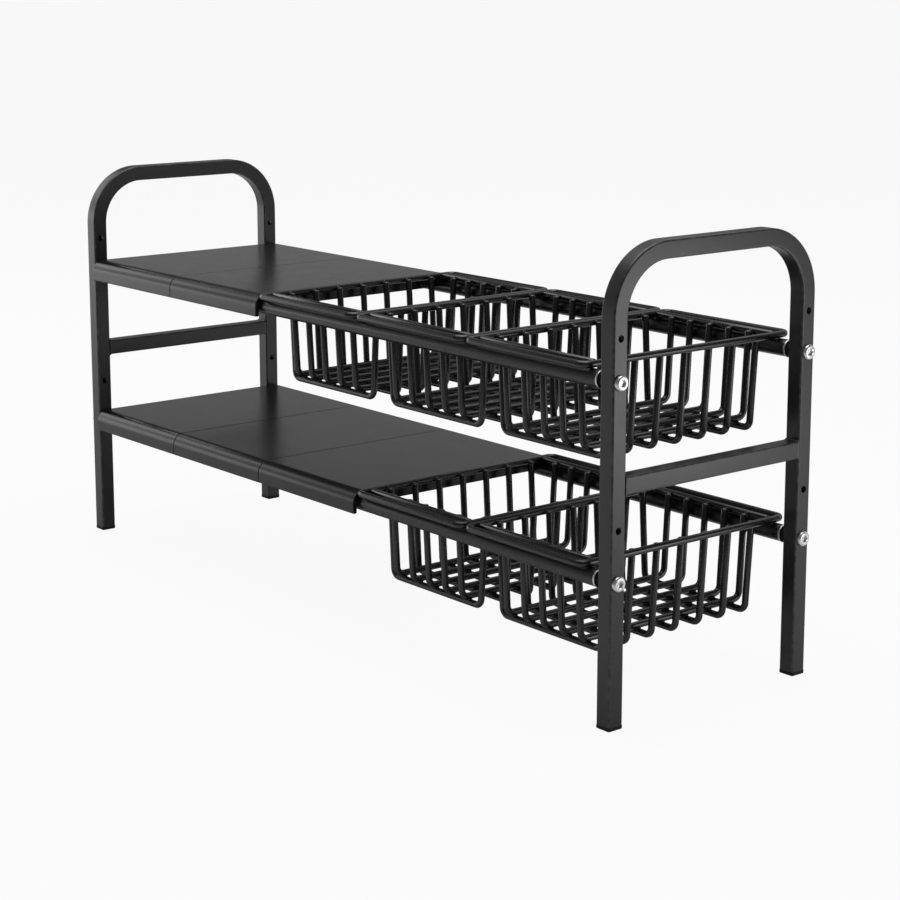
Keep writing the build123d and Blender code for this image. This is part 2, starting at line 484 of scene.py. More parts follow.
@dataclass(frozen=True)
class SteelFinish:
    """Plated or polished steel, turned on a lathe."""

    name: str
    colour: tuple[float, float, float, float]
    stain_colour: tuple[float, float, float, float]
    roughness: float
    roughness_spread: float
    mark_scale: float
    mark_height: float
    # Grey and added roughness of the painted shade, on the vertices that the lathe marks.
    dull_shade: float = 0.05
    dull_haze: float = 0.3

    def build(self, kit: ShaderKit) -> bpy.types.Material:
        """Make the material.

        Args:
            kit: The shared shader groups.

        Returns:
            The finished material.
        """
        material, build, shader = new_material(self.name)
        turned = group_node(build, kit.turning, Pitch_Scale=self.mark_scale)
        tone = build.blend(turned.outputs["Stain"], self.colour, self.stain_colour)
        # Painted shade: marked vertices take a dark grey in place of the steel's colour, standing in for
        # shadow, and a rougher surface.
        dull = build.add("ShaderNodeAttribute", attribute_name="dull").outputs["Fac"]
        shade_painted = build.blend(dull, tone, (self.dull_shade, self.dull_shade, self.dull_shade, 1.0))
        rough = build.add("ShaderNodeMapRange", {
            0: turned.outputs["Stain"], 3: self.roughness - self.roughness_spread,
            4: self.roughness + self.roughness_spread,
        }).outputs[0]
        hazed = build.math("MULTIPLY_ADD", dull, self.dull_haze, rough)
        build.surface(shader, shade_painted, hazed, turned.outputs["Height"], self.mark_height)
        shader.inputs["Metallic"].default_value = 1.0
        return material


FINISHES: dict[Slot, CoatFinish | SteelFinish] = {
    Slot.FRAME: CoatFinish(
        name="frame_powder_coat", shade=0.008, light_shade=0.012, roughness=0.34, roughness_spread=0.03,
        ripple_scale=1500.0, ripple_height=0.00003, specular=0.7,
    ),
    Slot.RAIL: CoatFinish(
        name="rail_powder_coat", shade=0.007, light_shade=0.010, roughness=0.28, roughness_spread=0.03,
        ripple_scale=1300.0, ripple_height=0.00003, specular=0.6,
    ),
    # The panels' edge strips are darker than the coat: a painted shade in the seams between panels.
    Slot.PANEL: CoatFinish(
        name="panel_texture_coat", shade=0.008, light_shade=0.012, roughness=0.25, roughness_spread=0.03,
        ripple_scale=2300.0, ripple_height=0.00003, dust=0.015, edge_shade=0.002, edge_haze=0.55,
    ),
    Slot.WIRE: CoatFinish(
        name="wire_dipped_coat", shade=0.003, light_shade=0.005, roughness=0.27, roughness_spread=0.03,
        ripple_scale=300.0, ripple_height=0.00004, specular=0.75, dust=0.02,
    ),
    Slot.CAP: CoatFinish(
        name="foot_cap_plastic", shade=0.004, light_shade=0.006, roughness=0.52, roughness_spread=0.06,
        ripple_scale=3200.0, ripple_height=0.00004, specular=0.3, dust=0.04,
    ),
    Slot.PLUG: SteelFinish(
        name="plug_zinc_plate", colour=(0.86, 0.87, 0.88, 1.0), stain_colour=(0.70, 0.70, 0.71, 1.0),
        roughness=0.34, roughness_spread=0.06, mark_scale=5200.0, mark_height=0.00001,
    ),
    Slot.SCREW: SteelFinish(
        name="screw_polished_steel", colour=(0.84, 0.84, 0.85, 1.0), stain_colour=(0.72, 0.72, 0.73, 1.0),
        roughness=0.30, roughness_spread=0.05, mark_scale=4200.0, mark_height=0.00001,
    ),
}


# Mesh tools

def quarter_turn(steps: int) -> list[float]:
    """Angles from nothing to a right angle, in even steps."""
    return [math.pi / 2 * i / steps for i in range(steps + 1)]


def arc(centre: tuple[float, float], radius: float, start: float, turn: float, steps: int) -> Ring:
    """Points along an arc in a plane.

    Args:
        centre: The arc's centre.
        radius: The arc's radius.
        start: Angle of the first point, in radians.
        turn: Angle from the first point to the last, in radians.
        steps: Number of chords.

    Returns:
        The points, both ends included.
    """
    return [
        (centre[0] + radius * math.cos(start + turn * i / steps),
         centre[1] + radius * math.sin(start + turn * i / steps))
        for i in range(steps + 1)
    ]


def rounded_square(side: float, radius: float, steps: int) -> Ring:
    """Outline of a square with rounded corners, anticlockwise.

    Args:
        side: Width over the flats.
        radius: Corner radius.
        steps: Chords in each corner.

    Returns:
        The outline's points.
    """
    inner = side / 2 - radius
    points: Ring = []
    for quarter in range(4):
        angle = quarter * math.pi / 2
        corner = inner * math.sqrt(2)
        middle = angle + math.pi / 4
        centre = (corner * math.cos(middle), corner * math.sin(middle))
        points += arc(centre, radius, angle, math.pi / 2, steps)
    return points


def rounded_path(
    corners: Sequence[Vector], radius: float, steps: int, closed: bool = False,
) -> list[Vector]:
    """Draw a polyline whose corners are arcs.

    Args:
        corners: The polyline's corners.
        radius: Radius of every arc.
        steps: Chords in each arc.
        closed: Whether the last corner joins the first.

    Returns:
        The path's points.
    """
    path: list[Vector] = []
    count = len(corners)
    for i, corner in enumerate(corners):
        if not closed and i in (0, count - 1):
            path.append(corner.copy())
            continue
        back = (corners[i - 1] - corner).normalized()
        ahead = (corners[(i + 1) % count] - corner).normalized()
        half = back.angle(ahead) / 2
        centre = corner + (back + ahead).normalized() * radius / math.sin(half)
        first = corner + back * radius / math.tan(half) - centre
        axis = first.cross(corner + ahead * radius / math.tan(half) - centre).normalized()
        turn = math.pi - 2 * half
        path += [centre + Matrix.Rotation(turn * k / steps, 3, axis) @ first for k in range(steps + 1)]
    return path


def skin_rings(
    mesh: bmesh.types.BMesh, rings: Sequence[Sequence[bmesh.types.BMVert]], closed: bool,
) -> None:
    """Join rings of vertices with quads.

    Args:
        mesh: The mesh that holds the vertices.
        rings: Rings of equal length.
        closed: Whether the last ring joins the first.
    """
    count = len(rings[0])
    pairs = list(zip(rings, rings[1:])) + ([(rings[-1], rings[0])] if closed else [])
    for low, high in pairs:
        for i in range(count):
            j = (i + 1) % count
            mesh.faces.new((low[i], low[j], high[j], high[i]))


def close_ring(mesh: bmesh.types.BMesh, ring: Sequence[bmesh.types.BMVert], centre: Vector) -> None:
    """Close a ring with a fan of triangles to one point.

    Args:
        mesh: The mesh that holds the vertices.
        ring: The ring.
        centre: Where the point goes.
    """
    point = mesh.verts.new(centre)
    for i, vert in enumerate(ring):
        mesh.faces.new((vert, ring[(i + 1) % len(ring)], point))


def capped_skin(
    mesh: bmesh.types.BMesh, rings: Sequence[Sequence[bmesh.types.BMVert]], ends: Sequence[Vector],
) -> None:
    """Join rings with quads and close the first and the last.

    Args:
        mesh: The mesh that holds the vertices.
        rings: Rings of equal length.
        ends: Where the two closing points go.
    """
    skin_rings(mesh, rings, closed=False)
    for ring, centre in zip((rings[0], rings[-1]), ends):
        close_ring(mesh, ring, centre)
    bmesh.ops.recalc_face_normals(mesh, faces=mesh.faces)


def swept_rod(
    path: Sequence[Vector], plane: Vector, radius: float, sides: int, closed: bool = False,
) -> bmesh.types.BMesh:
    """Make a round rod along a flat path, with domed ends where it is open.

    Args:
        path: The rod's centre line.
        plane: Normal of the plane that holds the path.
        radius: The rod's radius.
        sides: Facets round the rod.
        closed: Whether the path is a loop.

    Returns:
        The rod as a closed mesh.
    """
    mesh = bmesh.new()
    count = len(path)
    rings = []
    dome = radius * DOME_SHARE
    if not closed:
        first = (path[1] - path[0]).normalized() * dome
        last = (path[-2] - path[-1]).normalized() * dome
        path = [path[0] + first, *path[1:-1], path[-1] + last]

    def ring_at(place: Vector, tangent: Vector, scale: float) -> list[bmesh.types.BMVert]:
        """Add one ring of vertices, square to the path.

        Args:
            place: The ring's middle.
            tangent: The path's direction there.
            scale: Share of the rod's full radius.

        Returns:
            The vertices.
        """
        across = plane.cross(tangent).normalized()
        return [
            mesh.verts.new(place + (across * x + plane * y) * scale)
            for x, y in arc((0.0, 0.0), radius, 0.0, 2 * math.pi, sides)[:-1]
        ]

    for i, place in enumerate(path):
        behind = path[i - 1] if closed or i else place
        ahead = path[(i + 1) % count] if closed or i < count - 1 else place
        tangent = (ahead - behind).normalized()
        if not closed and i == 0:
            for k in range(1, DOME_STEPS):
                angle = math.pi / 2 * k / DOME_STEPS
                rings.append(ring_at(place - tangent * dome * math.cos(angle), tangent, math.sin(angle)))
        rings.append(ring_at(place, tangent, 1.0))
        if not closed and i == count - 1:
            for k in range(DOME_STEPS - 1, 0, -1):
                angle = math.pi / 2 * k / DOME_STEPS
                rings.append(ring_at(place + tangent * dome * math.cos(angle), tangent, math.sin(angle)))
    skin_rings(mesh, rings, closed)
    if not closed:
        start, end = (path[0] - path[1]).normalized(), (path[-1] - path[-2]).normalized()
        close_ring(mesh, rings[0], path[0] + start * dome)
        close_ring(mesh, rings[-1], path[-1] + end * dome)
    bmesh.ops.recalc_face_normals(mesh, faces=mesh.faces)
    return mesh


def lathe(
    profile: Sequence[tuple[float, float]], sides: int,
    shape: Callable[[float, int], float] | None = None, dull_radius: float = 0.0,
) -> bmesh.types.BMesh:
    """Turn a profile about X into a closed mesh.

    Each vertex stores its run along the profile as "turned", and in a second attribute whether it gets
    painted shade.

    Args:
        profile: Distance along X and radius of each point. A radius of 0 closes the mesh.
        sides: Facets round the axis.
        shape: Gives a factor on the radius for an angle and a point's number, for a socket's flats.
        dull_radius: Vertices inside this radius get painted shade, a dark grey that stands in for shadow.

    Returns:
        The turned mesh, centred on the X axis.
    """
    mesh = bmesh.new()
    turned = mesh.verts.layers.float.new("turned")
    dull = mesh.verts.layers.float.new("dull")
    rings: list[list[bmesh.types.BMVert]] = []
    run = 0.0
    last: tuple[float, float] | None = None
    for number, (x, radius) in enumerate(profile):
        run += math.dist(last, (x, radius)) if last else 0.0
        last = (x, radius)
        ring = []
        for i in range(1 if radius == 0 else sides):
            angle = 2 * math.pi * i / sides
            r = radius * (shape(angle, number) if shape else 1.0)
            vert = mesh.verts.new((x, r * math.cos(angle), r * math.sin(angle)))
            vert[turned] = run
            # Painted shade mask: 1 inside the radius, where the finish paints a dark grey in place of
            # shadow.
            vert[dull] = float(r < dull_radius)
            ring.append(vert)
        rings.append(ring)
    for low, high in zip(rings, rings[1:]):
        for i in range(sides):
            j = (i + 1) % sides
            corners = [low[i % len(low)], low[j % len(low)], high[j % len(high)], high[i % len(high)]]
            mesh.faces.new(list(dict.fromkeys(corners)))
    if rings[0][0].co.yz.length and rings[-1][0].co.yz.length:
        for i in range(sides):
            j = (i + 1) % sides
            mesh.faces.new((rings[-1][i], rings[-1][j], rings[0][j], rings[0][i]))
    bmesh.ops.recalc_face_normals(mesh, faces=mesh.faces)
    return mesh


def to_object(mesh: bmesh.types.BMesh, name: str) -> bpy.types.Object:
    """Turn a bmesh into a smooth-shaded object in the scene.

    Args:
        mesh: The mesh, freed afterwards.
        name: The object's name.

    Returns:
        The new object.
    """
    data = bpy.data.meshes.new(name)
    mesh.to_mesh(data)
    mesh.free()
    data.shade_smooth()
    made = bpy.data.objects.new(name, data)
    bpy.context.scene.collection.objects.link(made)
    return made


def settle(made: bpy.types.Object) -> None:
    """Turn an object's modifiers into its plain mesh.

    Args:
        made: The object, whose modifiers are removed.
    """
    bpy.context.view_layer.update()
    graph = bpy.context.evaluated_depsgraph_get()
    data = bpy.data.meshes.new_from_object(made.evaluated_get(graph), depsgraph=graph)
    data.name = made.name
    old = made.data
    made.modifiers.clear()
    made.data = data
    if isinstance(old, bpy.types.Mesh) and not old.users:
        bpy.data.meshes.remove(old)


def mark_edges(made: bpy.types.Object, width: float = 0.7 * MM, turn_degrees: float = 8.0) -> None:
    """Store on each face whether it is a narrow strip round an edge, for the painted edge highlight, partly
    edge wear, and the panels' painted seam shade.

    Args:
        made: The object, whose mesh gets the attribute "edge".
        width: The widest strip that counts.
        turn_degrees: How much the surface turns at both sides of a strip, at least.
    """
    mesh = bmesh.new()
    mesh.from_mesh(made.data)
    turn = math.radians(turn_degrees)
    marks = []
    for face in mesh.faces:
        turning = sum(1 for edge in face.edges if edge.calc_face_angle(0.0) > turn)
        narrow = face.calc_area() < width * max(edge.calc_length() for edge in face.edges)
        marks.append(1.0 if narrow and turning > 1 else 0.0)
    mesh.free()
    made.data.attributes.new("edge", "FLOAT", "FACE").data.foreach_set("value", marks)


def crisp(made: bpy.types.Object, angle_degrees: float = 40.0, weight: int = 80) -> None:
    """Keep flats flat and edges crisp: mark sharp edges and weigh the normals by face area.

    Args:
        made: The object.
        angle_degrees: Edges that turn more than this stay sharp.
        weight: How much a large face counts over a small one.
    """
    made.data.shade_smooth()
    made.data.set_sharp_from_angle(angle=math.radians(angle_degrees))
    modifier = made.modifiers.new("flats", "WEIGHTED_NORMAL")
    modifier.weight = weight
    modifier.keep_sharp = True
    settle(made)


# Geometry Nodes trees

class GeometryTool:
    """A Geometry Nodes tree with named inputs, run on an object and then made a plain mesh."""

    def __init__(self, name: str, sockets: Sequence[tuple[str, str]]) -> None:
        """Start the tree.

        Args:
            name: The tree's name.
            sockets: Name and socket type of each input besides the geometry and the material.
        """
        named = [(label, "INPUT", kind) for label, kind in sockets]
        self.build = new_group(name, "GeometryNodeTree", [
            ("Geometry", "INPUT", "NodeSocketGeometry"), *named,
            ("Material", "INPUT", "NodeSocketMaterial"), ("Geometry", "OUTPUT", "NodeSocketGeometry"),
        ])
        self.given = self.build.add("NodeGroupInput").outputs

    def finish(self, geometry: bpy.types.NodeSocket) -> None:
        """End the tree in Realize Instances and Set Material.

        Args:
            geometry: The result's socket.
        """
        real = self.build.add("GeometryNodeRealizeInstances", {"Geometry": geometry}).outputs[0]
        dressed = self.build.add("GeometryNodeSetMaterial", {
            "Geometry": real, "Material": self.given["Material"],
        }).outputs[0]
        self.build.add("NodeGroupOutput", {0: dressed})

    def run(self, made: bpy.types.Object, values: dict[str, Any]) -> bpy.types.Object:
        """Run the tree on an object and keep the plain result.

        Args:
            made: The object that carries the tree.
            values: Input name to value.

        Returns:
            The same object with its new mesh.
        """
        modifier = made.modifiers.new(self.build.tree.name, "NODES")
        modifier.node_group = self.build.tree
        sockets = self.build.tree.interface.items_tree
        ids = {socket.name: socket.identifier for socket in sockets if socket.in_out == "INPUT"}
        for label, value in values.items():
            modifier[ids[label]] = value
        settle(made)
        return made


def grid_tool() -> GeometryTool:
    """Make the tree that repeats the object's own mesh on a grid of two steps.

    Returns:
        The tool.
    """
    tool = GeometryTool("repeat_on_grid", [
        ("Start", "NodeSocketVector"), ("Step A", "NodeSocketVector"), ("Count A", "NodeSocketInt"),
        ("Step B", "NodeSocketVector"), ("Count B", "NodeSocketInt"),
    ])
    add, given = tool.build.add, tool.given
    first = add("GeometryNodeMeshLine", {
        "Count": given["Count A"], "Start Location": given["Start"], "Offset": given["Step A"],
    }).outputs[0]
    second = add("GeometryNodeMeshLine", {"Count": given["Count B"], "Offset": given["Step B"]}).outputs[0]
    rows = add("GeometryNodeInstanceOnPoints", {"Points": first, "Instance": second}).outputs[0]
    points = add("GeometryNodeRealizeInstances", {"Geometry": rows}).outputs[0]
    copies = add("GeometryNodeInstanceOnPoints", {"Points": points, "Instance": given["Geometry"]})
    tool.finish(copies.outputs[0])
    return tool


def hoop_tool(bend_steps: int = 28, corner_steps: int = 5) -> GeometryTool:
    """Make the tree that bends a hollow square tube into a hoop and drills its legs.

    The object's own mesh is the drills. Of the line's four points, the middle two are at the top.

    Args:
        bend_steps: Points on each bend below the handle.
        corner_steps: Points on each corner of the tube's section.

    Returns:
        The tool.
    """
    tool = GeometryTool("bent_hoop", [
        ("Half Span", "NodeSocketFloat"), ("Bottom", "NodeSocketFloat"), ("Top", "NodeSocketFloat"),
        ("Bend Radius", "NodeSocketFloat"), ("Tube Side", "NodeSocketFloat"),
        ("Tube Wall", "NodeSocketFloat"), ("Corner Radius", "NodeSocketFloat"),
        ("Place", "NodeSocketVector"),
    ])
    build, given = tool.build, tool.given
    index = build.add("GeometryNodeInputIndex").outputs[0]
    offset = build.math("SUBTRACT", index, 1.5)
    upper = build.math("LESS_THAN", build.math("ABSOLUTE", offset), 1.0)
    rise = build.math("MULTIPLY", upper, build.math("SUBTRACT", given["Top"], given["Bottom"]))
    place = build.add("ShaderNodeCombineXYZ", {
        "Y": build.math("MULTIPLY", build.math("SIGN", offset), given["Half Span"]),
        "Z": build.math("ADD", given["Bottom"], rise),
    }).outputs[0]
    points = build.add("GeometryNodePoints", {"Count": 4, "Position": place}).outputs[0]
    line = build.add("GeometryNodePointsToCurves", {"Points": points}).outputs[0]
    bent = build.add("GeometryNodeFilletCurve", {
        "Curve": line, "Count": bend_steps, "Radius": given["Bend Radius"],
    }, mode="POLY").outputs[0]

    def solid(side: Any, radius: Any) -> bpy.types.NodeSocket:
        """Make a solid rod of square section along the bent line.

        Args:
            side: Width of the square, a number or a socket.
            radius: Radius of its corners, a number or a socket.

        Returns:
            The rod's socket.
        """
        square = build.add("GeometryNodeCurvePrimitiveQuadrilateral", {"Width": side, "Height": side})
        outline = build.add("GeometryNodeFilletCurve", {
            "Curve": square.outputs[0], "Count": corner_steps, "Radius": radius,
        }, mode="POLY")
        return build.add("GeometryNodeCurveToMesh", {
            "Curve": bent, "Profile Curve": outline.outputs[0], "Fill Caps": True,
        }).outputs[0]

    wall = given["Tube Wall"]
    bore_side = build.math("SUBTRACT", given["Tube Side"], build.math("MULTIPLY", wall, 2.0))
    bore = solid(bore_side, build.math("SUBTRACT", given["Corner Radius"], wall))
    tube = build.add("GeometryNodeMeshBoolean", {
        "Mesh 1": solid(given["Tube Side"], given["Corner Radius"]), "Mesh 2": bore,
    }, operation="DIFFERENCE", solver="EXACT")
    drilled = build.add("GeometryNodeMeshBoolean", {
        "Mesh 1": tube.outputs[0], "Mesh 2": given["Geometry"],
    }, operation="DIFFERENCE", solver="EXACT")
    moved = build.add("GeometryNodeTransform", {
        "Geometry": drilled.outputs[0], "Translation": given["Place"],
    }).outputs[0]
    tool.finish(moved)
    return tool


# The workshop: what every sub-assembly shares

@dataclass
class Workshop:
    """Materials and tools that the sub-assemblies share."""

    kit: ShaderKit = field(default_factory=ShaderKit)
    materials: dict[Slot, bpy.types.Material] = field(default_factory=dict)
    grid: GeometryTool = field(default_factory=grid_tool)
    hoop: GeometryTool = field(default_factory=hoop_tool)

    def __post_init__(self) -> None:
        """Build every finish once."""
        for slot, finish in FINISHES.items():
            self.materials[slot] = finish.build(self.kit)

    def hand_over(self, made: bpy.types.Object, body: str, slot: Slot, nodes: Iterable[str]) -> None:
        """Dress a finished piece, put it on its body and hide the nodes that it replaces.

        Args:
            made: The piece.
            body: The body that it rides on.
            slot: Its finish.
            nodes: The nodes that it replaces.
        """
        made.data.materials.clear()
        made.data.materials.append(self.materials[slot])
        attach(made, body)
        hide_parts(*nodes)
        LOG.info("%s: %d faces, rides on %s", made.name, len(made.data.polygons), body)

    def repeat(
        self, made: bpy.types.Object, slot: Slot, start: Vector, first: Pitch,
        second: Pitch = Pitch(Vector((0, 0, 0)), 1),
    ) -> None:
        """Repeat a piece in rows.

        Args:
            made: The piece.
            slot: Its finish.
            start: How far the first copy is moved.
            first: The row.
            second: The rows themselves, where there is more than one.
        """
        self.grid.run(made, {
            "Start": start, "Step A": first.step, "Count A": first.count, "Step B": second.step,
            "Count B": second.count, "Material": self.materials[slot],
        })

    def repeat_on_rails(self, made: bpy.types.Object, slot: Slot, nodes: Sequence[str], x: float) -> None:
        """Repeat a piece at the ends of the four rails.

        Args:
            made: The piece.
            slot: Its finish.
            nodes: The four nodes, lower front first and upper back last.
            x: Where the pieces go along X.
        """
        low, high = Extent.of(nodes[0]).centre, Extent.of(nodes[-1]).centre
        back, up = Pitch(Vector((0, high.y - low.y, 0)), 2), Pitch(Vector((0, 0, high.z - low.z)), 2)
        self.repeat(made, slot, Vector((x, low.y, low.z)), back, up)


def shifted(mesh: bmesh.types.BMesh, by: Vector) -> bmesh.types.BMesh:
    """Move a bmesh and return it."""
    bmesh.ops.translate(mesh, vec=by, verts=mesh.verts)
    return mesh


def joined(meshes: Sequence[bmesh.types.BMesh]) -> bmesh.types.BMesh:
    """Put several meshes into the first one, without joining their vertices.

    Args:
        meshes: The meshes. All but the first are freed.

    Returns:
        The first mesh, with everything in it.
    """
    whole = meshes[0]
    for other in meshes[1:]:
        data = bpy.data.meshes.new("part")
        other.to_mesh(data)
        other.free()
        whole.from_mesh(data)
        bpy.data.meshes.remove(data)
    return whole


def bead(size: Vector) -> bmesh.types.BMesh:
    """Make a small blob of weld under its coating.

    Args:
        size: Its three widths.

    Returns:
        The blob, centred on the origin.
    """
    mesh = bmesh.new()
    bmesh.ops.create_uvsphere(mesh, u_segments=BEAD_SEGMENTS, v_segments=BEAD_RINGS, radius=0.5)
    bmesh.ops.scale(mesh, vec=size, verts=mesh.verts)
    return mesh


def absorb(target: bpy.types.Object, extra: bpy.types.Object) -> None:
    """Put one object's mesh into another's and remove it.

    Args:
        target: The object that stays.
        extra: The object that is used up.
    """
    mesh = bmesh.new()
    mesh.from_mesh(target.data)
    mesh.from_mesh(extra.data)
    mesh.to_mesh(target.data)
    mesh.free()
    target.data.shade_smooth()
    data = extra.data
    bpy.data.objects.remove(extra)
    bpy.data.meshes.remove(data)


# Sub-assemblies

@dataclass
class HoopFrame:
    """One end of the rack: hoop, crossbar and foot caps."""

    shop: Workshop
    side: Side
    tube_wall: float = 1.2 * MM
    corner_radius: float = 1.6 * MM
    bend_radius: float = 50.0 * MM
    screw_hole_radius: float = 3.2 * MM
    spare_hole_radius: float = 3.0 * MM
    spare_rises: tuple[float, float] = (42.4 * MM, 34.5 * MM)
    drill_sides: int = 40
    corner_steps: int = 5
    weld_reach: float = 1.6 * MM
    weld_width_share: float = 0.03
    weld_height_share: float = 0.14
    cap_edge: float = 0.9 * MM
    cap_lip: float = 0.4 * MM
    cap_lip_share: float = 0.6
    cap_plug_corner: float = 1.0 * MM
    cap_least_corner: float = 0.3 * MM
    cap_edge_steps: int = 4

    def __post_init__(self) -> None:
        """Read the hoop's sizes from its node."""
        self.label = self.side.label
        self.node = f"{self.label}_hoop_frame"
        self.extent = Extent.of(self.node)
        self.tube = self.extent.size.x
        self.leg_y = (self.extent.size.y - self.tube) / 2
        plugs = [f"{tier.value}_front_{self.label}_rail_plug" for tier in Tier]
        self.rail_heights = [Extent.of(plug).centre.z for plug in plugs]

    def drills(self) -> bmesh.types.BMesh:
        """Make a cylinder for every hole through the two legs.

        Returns:
            All the cylinders in one mesh.
        """
        cutters = []
        reach = self.tube
        for row in Row:
            for height, rise in zip(self.rail_heights, self.spare_rises):
                holes = ((height, self.screw_hole_radius), (height + rise, self.spare_hole_radius))
                for z, radius in holes:
                    profile = [(-reach, 0.0), (-reach, radius), (reach, radius), (reach, 0.0)]
                    cutter = lathe(profile, self.drill_sides)
                    cutters.append(shifted(cutter, Vector((0, row.value * self.leg_y, z))))
        return joined(cutters)

    def build_hoop(self) -> None:
        """Bend and drill the hoop."""
        made = to_object(self.drills(), f"{self.label}_hoop_tube")
        self.shop.hoop.run(made, {
            "Half Span": self.leg_y, "Bottom": self.extent.low.z, "Top": self.extent.high.z - self.tube / 2,
            "Bend Radius": self.bend_radius, "Tube Side": self.tube, "Tube Wall": self.tube_wall,
            "Corner Radius": self.corner_radius, "Place": Vector((self.extent.centre.x, 0, 0)),
            "Material": self.shop.materials[Slot.FRAME],
        })
        crisp(made)
        mark_edges(made)
        self.shop.hand_over(made, self.side.body, Slot.FRAME, [self.node])

    def build_crossbar(self) -> None:
        """Make the bar between the legs, with a small painted weld round each end."""
        node = f"{self.label}_crossbar"
        extent = Extent.of(node)
        mesh = bmesh.new()
        half = extent.size.y / 2
        swell = [
            (half - self.weld_reach * math.sin(a), 1 - math.cos(a)) for a in quarter_turn(self.corner_steps)
        ]
        outline = rounded_square(extent.size.x, self.corner_radius, self.corner_steps)
        rings = []
        for y, thin in [*((-y, thin) for y, thin in swell), *reversed(swell)]:
            wide = 1 + self.weld_width_share * (1 - thin)
            tall = 1 + self.weld_height_share * (1 - thin)
            rings.append([
                mesh.verts.new((extent.centre.x + a * wide, y, extent.centre.z + b * tall))
                for a, b in outline
            ])
        tips = [Vector((extent.centre.x, ring[0].co.y, extent.centre.z)) for ring in (rings[0], rings[-1])]
        capped_skin(mesh, rings, tips)
        made = to_object(mesh, f"{self.label}_crossbar_tube")
        crisp(made)
        mark_edges(made)
        self.shop.hand_over(made, self.side.body, Slot.FRAME, [node])

    def build_foot_cap(self, row: Row) -> None:
        """Make one foot cap: a rounded base under the leg and the plug inside it.

        Args:
            row: The leg that it is under.
        """
        node = f"{self.label}_{row.label}_foot_cap"
        extent = Extent.of(node)
        base = self.extent.low.z - extent.low.z
        side = extent.size.x
        edge, lip, tucked = self.cap_edge, self.cap_lip, self.cap_plug_corner
        plug_side = self.tube - 2 * self.tube_wall
        corner = self.corner_radius + (side - self.tube) / 2
        levels = [
            (edge * (1 - math.sin(a)), edge * (1 - math.cos(a)), side, corner)
            for a in reversed(quarter_turn(self.cap_edge_steps))
        ]
        levels += [(base - lip, 0.0, side, corner), (base, lip * self.cap_lip_share, side, corner)]
        levels += [
            (base, 0.0, plug_side, tucked), (extent.size.z - edge, 0.0, plug_side, tucked),
            (extent.size.z, edge / 2, plug_side, tucked),
        ]
        mesh = bmesh.new()
        rings = []
        for z, inset, width, radius in levels:
            rounding = max(radius - inset, self.cap_least_corner)
            rings.append([
                mesh.verts.new((extent.centre.x + a, extent.centre.y + b, extent.low.z + z))
                for a, b in rounded_square(width - 2 * inset, rounding, self.cap_edge_steps)
            ])
        tips = [Vector((extent.centre.x, extent.centre.y, ring[0].co.z)) for ring in (rings[0], rings[-1])]
        capped_skin(mesh, rings, tips)
        made = to_object(mesh, f"{node}_moulding")
        crisp(made, angle_degrees=35.0)
        mark_edges(made)
        self.shop.hand_over(made, self.side.body, Slot.CAP, [node])

    def build(self) -> None:
        """Build the whole end."""
        self.build_hoop()
        self.build_crossbar()
        for row in Row:
            self.build_foot_cap(row)


